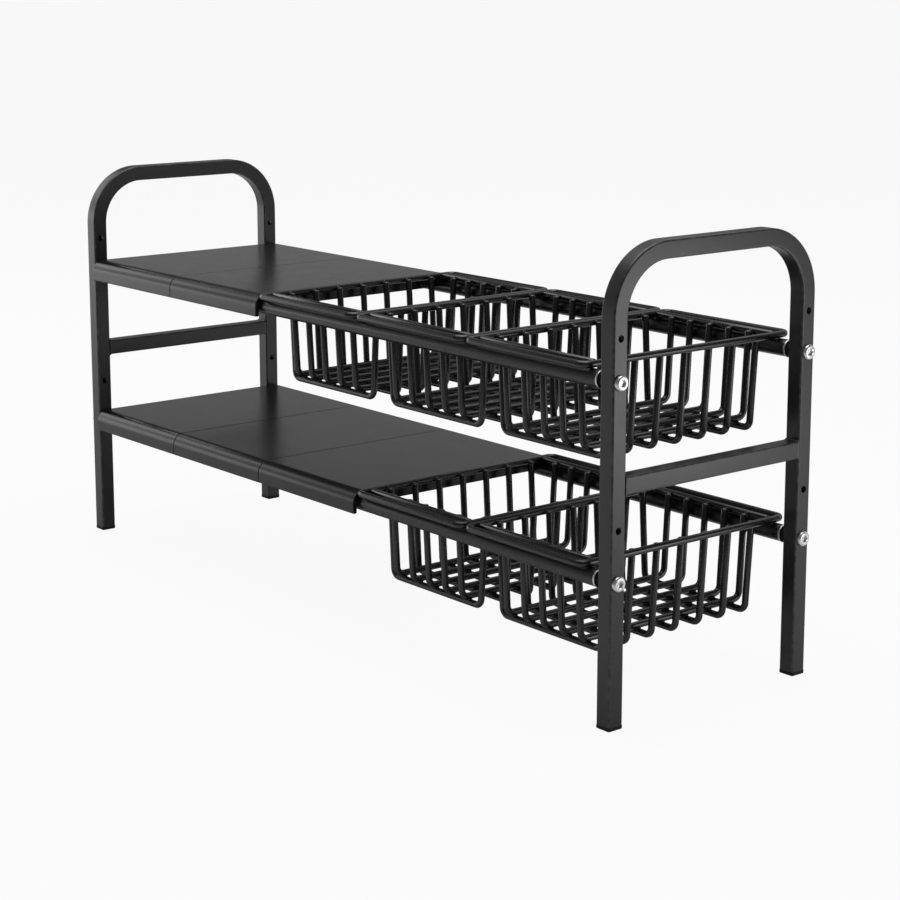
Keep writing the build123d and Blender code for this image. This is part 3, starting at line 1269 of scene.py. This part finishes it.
@dataclass
class Fasteners:
    """Screws and rail plugs of one end, each set repeated over the four rail ends."""

    shop: Workshop
    side: Side
    head_crown: float = 2.4 * MM
    head_height: float = 3.3 * MM
    head_rim: float = 0.25 * MM
    crown_share: float = 0.82
    crown_steps: int = 10
    socket_depth: float = 2.0 * MM
    socket_half_flats: float = 2.5 * MM
    socket_lip: float = 0.35 * MM
    shank_radius: float = 3.0 * MM
    tip_share: float = 0.8
    thread_gap: float = 0.05 * MM
    flange_width: float = 1.8 * MM
    flange_edge: float = 0.4 * MM
    flange_steps: int = 4
    neck_length: float = 4.2 * MM
    neck_radius: float = 5.2 * MM
    plug_rim: float = 0.3 * MM
    left_spigot_radius: float = 5.78 * MM
    right_spigot_radius: float = 6.56 * MM
    sides: int = 72

    def nodes(self, kind: str) -> list[str]:
        """Names of the four nodes of this kind."""
        return [f"{place}_{self.side.label}_{kind}" for place in rail_places()]

    def screw_mesh(self, extent: Extent) -> bmesh.types.BMesh:
        """Make one screw with its head towards +X and its seat at the origin.

        Args:
            extent: Extent of one screw's node.

        Returns:
            The screw.
        """
        radius = extent.size.y / 2
        tip = self.head_height - extent.size.x
        rim, lip, flats, shank = self.head_rim, self.socket_lip, self.socket_half_flats, self.shank_radius
        crown_centre = (self.head_height - self.head_crown, radius - self.head_crown)
        crown_turn = -math.pi / 2 * self.crown_share
        profile = [
            (tip, 0.0), (tip, shank * self.tip_share), (tip + rim * 3, shank), (0.0, shank),
            (0.0, radius - rim), (rim, radius),
            *arc(crown_centre, self.head_crown, math.pi / 2, crown_turn, self.crown_steps),
        ]
        socket_start = len(profile) + 1
        profile += [
            (self.head_height, flats / math.cos(math.pi / 6) + lip), (self.head_height - lip, flats),
            (self.head_height - self.socket_depth, flats),
            (self.head_height - self.socket_depth - rim * 2, 0.0),
        ]

        def hexagon(angle: float, number: int) -> float:
            """Widen the socket's rings from its flats to its corners.

            Args:
                angle: Angle round the screw.
                number: The ring's place in the profile.

            Returns:
                The factor on the ring's radius.
            """
            if number < socket_start:
                return 1.0
            return 1 / math.cos((angle % (math.pi / 3)) - math.pi / 6)

        return lathe(profile, self.sides, hexagon)

    def plug_mesh(self, extent: Extent) -> bmesh.types.BMesh:
        """Make one plug with the neck's bearing face at the origin and its spigot towards -X.

        Args:
            extent: Extent of one plug's node.

        Returns:
            The plug.
        """
        radius, edge, neck, rim = extent.size.y / 2, self.flange_edge, self.neck_radius, self.plug_rim
        bore = self.shank_radius + self.thread_gap
        spigot = self.left_spigot_radius if self.side is Side.LEFT else self.right_spigot_radius
        end, ring = -extent.size.x, -self.neck_length
        front = arc((ring - edge, radius - edge), edge, 0.0, math.pi / 2, self.flange_steps)
        back_centre = (ring - self.flange_width + edge, radius - edge)
        back = arc(back_centre, edge, math.pi / 2, math.pi / 2, self.flange_steps)
        profile = [
            (0.0, bore), (0.0, neck - rim), (-rim, neck), (ring + rim, neck), (ring, neck + rim),
            *front, *back, (ring - self.flange_width, spigot), (end + rim, spigot), (end, spigot - rim),
            (end, bore),
        ]
        # Everything inside the flange's outer band gets the painted shade: a dark grey standing in for the
        # shadow in the gap between the flange and the leg.
        return lathe(profile, self.sides, dull_radius=radius - rim)

    def build_set(self, kind: str, slot: Slot, mesh: bmesh.types.BMesh, seat_x: float) -> None:
        """Repeat one turned piece over the four rail ends.

        Args:
            kind: rail_screw or rail_plug.
            slot: The finish.
            mesh: The piece, drawn with its outer end towards +X.
            seat_x: Where its origin goes along X.
        """
        nodes = self.nodes(kind)
        if self.side is Side.LEFT:
            bmesh.ops.rotate(mesh, verts=mesh.verts, matrix=Matrix.Rotation(math.pi, 3, "Z"))
        made = to_object(mesh, f"{self.side.label}_{kind}s")
        self.shop.repeat_on_rails(made, slot, nodes, seat_x)
        crisp(made, angle_degrees=32.0)
        self.shop.hand_over(made, self.side.body, slot, nodes)

    def build(self) -> None:
        """Build the screws and the plugs."""
        screw = Extent.of(self.nodes("rail_screw")[0])
        plug = Extent.of(self.nodes("rail_plug")[0])
        outward = screw.high.x if self.side is Side.RIGHT else screw.low.x
        seat = outward - self.side.value * self.head_height
        self.build_set("rail_screw", Slot.SCREW, self.screw_mesh(screw), seat)
        bearing = plug.high.x if self.side is Side.RIGHT else plug.low.x
        self.build_set("rail_plug", Slot.PLUG, self.plug_mesh(plug), bearing)


@dataclass
class RailSet:
    """The four rail tubes fixed to one end."""

    shop: Workshop
    side: Side
    wall: float = 0.7 * MM
    sides: int = 72

    def build(self) -> None:
        """Make one tube and repeat it over the four places."""
        nodes = [f"{place}_{self.side.rail_kind}" for place in rail_places()]
        extent = Extent.of(nodes[0])
        radius, half = extent.size.y / 2, extent.size.x / 2
        edge = self.wall / 3
        profile = [
            (-half, radius - self.wall), (-half, radius - edge), (-half + edge, radius),
            (half - edge, radius), (half, radius - edge), (half, radius - self.wall),
        ]
        made = to_object(lathe(profile, self.sides), f"{self.side.label}_{self.side.rail_kind}_tubes")
        self.shop.repeat_on_rails(made, Slot.RAIL, nodes, extent.centre.x)
        crisp(made)
        self.shop.hand_over(made, self.side.body, Slot.RAIL, nodes)


@dataclass
class ShelfPanel:
    """One flat panel whose front and back edges wrap over the rails."""

    shop: Workshop
    name: str
    thickness: float = 4.2 * MM
    seat_radius: float = 7.6 * MM
    end_edge: float = 0.6 * MM
    rib: float = 3.0 * MM
    rib_drop: float = 1.2 * MM
    rib_edge: float = 0.4 * MM
    rib_edge_steps: int = 2
    lip_edge: float = 1.0 * MM
    lip_inset_share: float = 0.3
    edge_steps: int = 4
    bend_steps: int = 14

    def section(self, inset: float) -> tuple[Ring, Ring]:
        """Draw the outer and inner line of the section in YZ, drawn in by this much.

        Args:
            inset: How far both lines move into the sheet.

        Returns:
            Two lines of equal length, front lip to back lip.
        """
        lines = []
        for radius, way in ((self.seat_radius + self.thickness, -1), (self.seat_radius, 1)):
            r = radius + way * inset
            bend = arc((-self.rail_y, self.rail_z), r, math.pi, -math.pi / 2, self.bend_steps)
            bottom = self.extent.low.z + inset
            soft = self.lip_edge - inset * self.lip_inset_share
            lip = [
                (bend[0][0] - way * soft * (1 - math.sin(a)), bottom + soft * (1 - math.cos(a)))
                for a in quarter_turn(self.edge_steps)
            ]
            front = lip + bend
            lines.append(front + [(-y, z) for y, z in reversed(front)])
        return lines[0], lines[1]

    def build(self) -> None:
        """Make the panel as a closed skin with softened ends and lips."""
        self.extent = Extent.of(self.name)
        self.rail_z = self.extent.high.z - self.thickness - self.seat_radius
        self.rail_y = self.extent.size.y / 2 - self.thickness - self.seat_radius
        mesh = bmesh.new()
        ends = [
            (self.end_edge * (1 - math.cos(a)), self.end_edge * (1 - math.sin(a)))
            for a in quarter_turn(self.edge_steps)
        ]
        low, high = self.extent.low.x, self.extent.high.x
        stations = [(low + along, inset) for along, inset in ends]
        stations += [(high - along, inset) for along, inset in reversed(ends)]
        rings, halves = [], []
        for x, inset in stations:
            outer, inner = self.section(inset)
            top = [mesh.verts.new((x, y, z)) for y, z in outer]
            under = [mesh.verts.new((x, y, z)) for y, z in inner]
            rings.append(top + under[::-1])
            halves.append((top, under))
        skin_rings(mesh, rings, closed=False)
        for top, under in (halves[0], halves[-1]):
            for i in range(len(top) - 1):
                mesh.faces.new((top[i], top[i + 1], under[i + 1], under[i]))
        bmesh.ops.recalc_face_normals(mesh, faces=mesh.faces)
        for x in (low + self.rib / 2, high - self.rib / 2):
            self.add_rib(mesh, x)
        made = to_object(mesh, f"{self.name}_sheet")
        crisp(made)
        mark_edges(made)
        self.shop.hand_over(made, self.name, Slot.PANEL, [self.name])

    def add_rib(self, mesh: bmesh.types.BMesh, x: float) -> None:
        """Put the rib under one end of the sheet.

        Args:
            mesh: The sheet's mesh.
            x: The middle of the rib.
        """
        top = self.rail_z + self.seat_radius + self.thickness / 2
        bottom = self.rail_z - self.rib_drop
        size = Vector((self.rib, 2 * (self.rail_y - self.seat_radius), top - bottom))
        made = bmesh.ops.create_cube(mesh, size=1.0)["verts"]
        bmesh.ops.scale(mesh, vec=size, verts=made)
        bmesh.ops.translate(mesh, vec=Vector((x, 0.0, (top + bottom) / 2)), verts=made)
        edges = list({edge for vert in made for edge in vert.link_edges})
        bmesh.ops.bevel(
            mesh, geom=edges, offset=self.rib_edge, segments=self.rib_edge_steps,
            affect="EDGES", profile=ROUND_PROFILE,
        )


@dataclass
class WireBasket:
    """One basket of dipped wire: rim, saddle wires, long wires, cross wires and their welds."""

    shop: Workshop
    name: str
    rim_corner: float = 7.0 * MM
    bend_radius: float = 7.0 * MM
    side_lean: float = 5.07 * MM
    front_lean: float = 4.06 * MM
    wire_radius: float = 2.95 * MM
    sides: int = 28
    bend_steps: int = 10
    long_count: int = 7
    cross_count: int = 5
    weld_sink_share: float = 0.1
    long_tip_bead: tuple[float, float, float] = (2.2 * MM, 4.6 * MM, 4.2 * MM)
    cross_tip_bead: tuple[float, float, float] = (4.6 * MM, 2.2 * MM, 4.2 * MM)
    floor_bead: tuple[float, float, float] = (4.8 * MM, 4.8 * MM, 1.8 * MM)

    def __post_init__(self) -> None:
        """Read the basket's sizes from its nodes."""
        self.rim = Extent.of(f"{self.name}_rim")
        self.saddle = Extent.of(f"{self.name}_saddle_wires")
        self.long = Extent.of(f"{self.name}_long_wires")
        self.cross = Extent.of(f"{self.name}_cross_wires")
        self.centre = self.rim.centre
        self.rim_radius = self.rim.size.z / 2
        self.saddle_radius = self.saddle.size.z / 2
        self.long_y = self.long.size.y / 2 - self.wire_radius
        self.cross_x = self.cross.size.x / 2 - self.wire_radius
        self.long_row = Pitch(Vector((0, 2 * self.long_y / (self.long_count - 1), 0)), self.long_count)
        self.cross_row = Pitch(Vector((2 * self.cross_x / (self.cross_count - 1), 0, 0)), self.cross_count)

    def rod(
        self, name: str, corners: Sequence[Vector], plane: Vector, radius: float, bend: float,
        closed: bool = False,
    ) -> bpy.types.Object:
        """Make one bent wire.

        Args:
            name: The wire's name.
            corners: Corners of its centre line.
            plane: Normal of the plane that it lies in.
            radius: The wire's radius.
            bend: Radius of its bends.
            closed: Whether it is a hoop.

        Returns:
            The wire as an object.
        """
        path = rounded_path(corners, bend, self.bend_steps, closed)
        return to_object(swept_rod(path, plane, radius, self.sides, closed), name)

    def weld(
        self, made: bpy.types.Object, size: tuple[float, float, float], start: Vector,
        first: Pitch, second: Pitch,
    ) -> None:
        """Add the weld beads of a row of wires to it.

        Args:
            made: The row of wires.
            size: A bead's widths.
            start: The first bead's place.
            first: The beads of one row.
            second: The rows of beads.
        """
        beads = to_object(bead(Vector(size)), f"{made.name}_beads")
        self.shop.repeat(beads, Slot.WIRE, start, first, second)
        absorb(made, beads)

    def u_corners(self, half_span: float, extent: Extent, across: Vector, lean: float) -> list[Vector]:
        """Find the corners of a wire bent down one wall, along the floor and up the other.

        Args:
            half_span: From the basket's middle to the wire's tips.
            extent: Extent of the wires' node.
            across: Direction from one tip to the other.
            lean: How far each wall leans in.

        Returns:
            The four corners.
        """
        top = extent.high.z
        floor = extent.low.z + self.wire_radius
        foot = half_span - lean
        up = Vector((0, 0, 1))
        return [
            across * -half_span + up * top, across * -foot + up * floor,
            across * foot + up * floor, across * half_span + up * top,
        ]

    def build_rim(self) -> None:
        """Make the thick hoop that lies across both rails."""
        half = self.rim.size / 2
        x, y = half.x - self.rim_radius, half.y - self.rim_radius
        corners = [self.centre + Vector((a * x, b * y, 0)) for a, b in CORNER_SIGNS]
        up = Vector((0, 0, 1))
        made = self.rod(f"{self.name}_rim_wire", corners, up, self.rim_radius, self.rim_corner, closed=True)
        self.shop.hand_over(made, self.name, Slot.WIRE, [f"{self.name}_rim"])

    def build_saddle(self) -> None:
        """Make the straight wires just inside the rails."""
        half = self.saddle.size / 2
        y = half.y - self.saddle_radius
        ends = [Vector((-half.x, 0, 0)), Vector((half.x, 0, 0))]
        made = self.rod(f"{self.name}_saddle_pair", ends, Vector((0, 1, 0)), self.saddle_radius, 0.0)
        start = self.saddle.centre - Vector((0, y, 0))
        self.shop.repeat(made, Slot.WIRE, start, Pitch(Vector((0, 2 * y, 0)), 2))
        self.shop.hand_over(made, self.name, Slot.WIRE, [f"{self.name}_saddle_wires"])

    def build_long(self) -> None:
        """Make the wires that run left to right, in the lower layer, with their welds to the rim."""
        half = self.long.size / 2
        along, plane = Vector((1, 0, 0)), Vector((0, 1, 0))
        corners = self.u_corners(half.x - self.wire_radius, self.long, along, self.side_lean)
        name = f"{self.name}_long_wire_row"
        made = self.rod(name, corners, plane, self.wire_radius, self.bend_radius)
        self.shop.repeat(made, Slot.WIRE, Vector((self.centre.x, -self.long_y, 0)), self.long_row)
        tip = half.x - self.wire_radius * self.weld_sink_share
        first_tip = Vector((self.centre.x - tip, -self.long_y, self.rim.centre.z))
        self.weld(made, self.long_tip_bead, first_tip, Pitch(Vector((2 * tip, 0, 0)), 2), self.long_row)
        self.shop.hand_over(made, self.name, Slot.WIRE, [f"{self.name}_long_wires"])

    def build_cross(self) -> None:
        """Make the wires that run front to back, in the upper layer, with their welds."""
        half = self.cross.size / 2
        along, plane = Vector((0, 1, 0)), Vector((1, 0, 0))
        corners = self.u_corners(half.y - self.wire_radius, self.cross, along, self.front_lean)
        name = f"{self.name}_cross_wire_row"
        made = self.rod(name, corners, plane, self.wire_radius, self.bend_radius)
        left = self.centre.x - self.cross_x
        self.shop.repeat(made, Slot.WIRE, Vector((left, 0, 0)), self.cross_row)
        floor = self.long.low.z + 2 * self.wire_radius
        first_crossing = Vector((left, -self.long_y, floor))
        self.weld(made, self.floor_bead, first_crossing, self.cross_row, self.long_row)
        tip = half.y - self.wire_radius * self.weld_sink_share
        first_tip = Vector((left, -tip, self.rim.centre.z))
        self.weld(made, self.cross_tip_bead, first_tip, self.cross_row, Pitch(Vector((0, 2 * tip, 0)), 2))
        self.shop.hand_over(made, self.name, Slot.WIRE, [f"{self.name}_cross_wires"])

    def build(self) -> None:
        """Build the whole basket."""
        self.build_rim()
        self.build_saddle()
        self.build_long()
        self.build_cross()


# The studio

@dataclass(frozen=True)
class Lamp:
    """A soft rectangular lamp: its place, its two sides and its power."""

    name: str
    place: tuple[float, float, float]
    sides: tuple[float, float]
    watts: float

    def hang(self, aim: Vector) -> None:
        """Put the lamp in the scene.

        Args:
            aim: The point that it faces.
        """
        data = bpy.data.lights.new(self.name, "AREA")
        data.shape = "RECTANGLE"
        data.size, data.size_y = self.sides
        data.energy = self.watts
        made = bpy.data.objects.new(self.name, data)
        bpy.context.scene.collection.objects.link(made)
        made.location = self.place
        made.visible_camera = False
        made.rotation_euler = (aim - Vector(self.place)).to_track_quat("-Z", "Y").to_euler()


LAMPS: tuple[Lamp, ...] = (
    Lamp("overhead", (0.0, 0.1, 2.2), (2.4, 1.6), 32.0),
    Lamp("overhead_back", (-0.6, 1.8, 1.8), (2.0, 1.2), 5.0),
    Lamp("back_left", (-2.6, 1.9, 0.6), (1.6, 1.0), 1.2),
    Lamp("front_left", (-2.0, -0.9, 0.95), (0.9, 1.5), 2.0),
    Lamp("front_left_low", (-1.53, -0.9, 0.28), (0.9, 0.5), 2.1),
    Lamp("left_wall", (-2.2, -0.2, 0.8), (1.2, 1.2), 8.0),
    Lamp("right_low", (0.97, 0.42, 0.17), (0.3, 0.3), 0.9),
    Lamp("back_wall", (0.6, 2.4, 0.9), (1.6, 1.2), 4.0),
)


def mix_for_eye(build: TreeBuilder, plain: bpy.types.Node, seen: bpy.types.Node) -> bpy.types.NodeSocket:
    """Mix what lights the rack with what the camera sees.

    Args:
        build: Builder of the tree.
        plain: Shader for every other ray.
        seen: Shader for the camera's rays.

    Returns:
        The mixed shader's socket.
    """
    eye = build.add("ShaderNodeLightPath").outputs["Is Camera Ray"]
    return build.add("ShaderNodeMixShader", {0: eye, 1: plain.outputs[0], 2: seen.outputs[0]}).outputs[0]


@dataclass
class Studio:
    """Floor, backdrop, lamps and camera."""

    camera_place: tuple[float, float, float] = (1.5622, -1.2189, 0.5958)
    azimuth: float = 50.911
    pitch: float = 10.262
    focal_pixels: float = 2131.9
    axis_row: float = 350.0
    frame_pixels: float = 900.0
    sensor: float = 36.0
    floor_half_side: float = 30.0
    floor_colour: tuple[float, float, float, float] = (0.80, 0.80, 0.805, 1.0)
    shadow_shade: float = 0.05
    floor_glow: float = 0.932
    fill: float = 0.12
    backdrop_shade: float = 0.965
    lamp_aim: tuple[float, float, float] = (0.0, 0.0, 0.2)

    def build_camera(self) -> None:
        """Set the camera where the photograph was taken from."""
        data = bpy.data.cameras.new("camera")
        data.sensor_width = self.sensor
        data.lens = self.focal_pixels / self.frame_pixels * self.sensor
        data.shift_y = (self.axis_row - self.frame_pixels / 2) / self.frame_pixels
        camera = bpy.data.objects.new("camera", data)
        bpy.context.scene.collection.objects.link(camera)
        a, e = math.radians(self.azimuth), math.radians(self.pitch)
        back = Vector((math.sin(a) * math.cos(e), -math.cos(a) * math.cos(e), math.sin(e)))
        camera.location = self.camera_place
        camera.rotation_euler = (-back).to_track_quat("-Z", "Y").to_euler()
        bpy.context.scene.camera = camera

    def build_floor(self) -> None:
        """Lay a pale floor that keeps a faint shadow."""
        half, shade = self.floor_half_side, self.shadow_shade
        mesh = bmesh.new()
        mesh.faces.new([mesh.verts.new((x * half, y * half, 0.0)) for x, y in CORNER_SIGNS])
        floor = to_object(mesh, "floor")
        material = bpy.data.materials.new("pale_floor")
        material.use_nodes = True
        material.node_tree.nodes.clear()
        build = TreeBuilder(material.node_tree)
        matt = build.add("ShaderNodeBsdfDiffuse", {"Color": self.floor_colour})
        shadowed = build.add("ShaderNodeBsdfDiffuse", {"Color": (shade, shade, shade, 1.0)})
        glow = build.add("ShaderNodeEmission", {"Color": (1.0, 1.0, 1.0, 1.0), "Strength": self.floor_glow})
        seen = build.add("ShaderNodeAddShader", {0: shadowed.outputs[0], 1: glow.outputs[0]})
        build.add("ShaderNodeOutputMaterial", {"Surface": mix_for_eye(build, matt, seen)})
        floor.data.materials.append(material)

    def build_world(self) -> None:
        """Set a white surround for the eye, and a soft fill for the rest."""
        shade = self.backdrop_shade
        world = bpy.data.worlds.new("studio")
        bpy.context.scene.world = world
        world.use_nodes = True
        world.node_tree.nodes.clear()
        build = TreeBuilder(world.node_tree)
        fill = build.add("ShaderNodeBackground", {"Color": (1.0, 1.0, 1.0, 1.0), "Strength": self.fill})
        white = build.add("ShaderNodeBackground", {"Color": (shade, shade, shade, 1.0), "Strength": 1.0})
        build.add("ShaderNodeOutputWorld", {"Surface": mix_for_eye(build, fill, white)})

    def build(self) -> None:
        """Build the whole studio."""
        self.build_camera()
        self.build_floor()
        self.build_world()
        for lamp in LAMPS:
            lamp.hang(Vector(self.lamp_aim))
        bpy.context.scene.view_settings.view_transform = "Standard"


def main() -> None:
    """Build the rack and the studio."""
    logging.basicConfig(level=logging.INFO, format="%(name)s: %(message)s")
    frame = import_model()
    shop = Workshop()
    for side in Side:
        HoopFrame(shop, side).build()
        RailSet(shop, side).build()
        Fasteners(shop, side).build()
    for body in sorted(frame["bodies"]):
        if "_panel_" in body:
            ShelfPanel(shop, body).build()
        elif "_basket_" in body:
            WireBasket(shop, body).build()
    Studio().build()


if __name__ == "__main__":
    main()
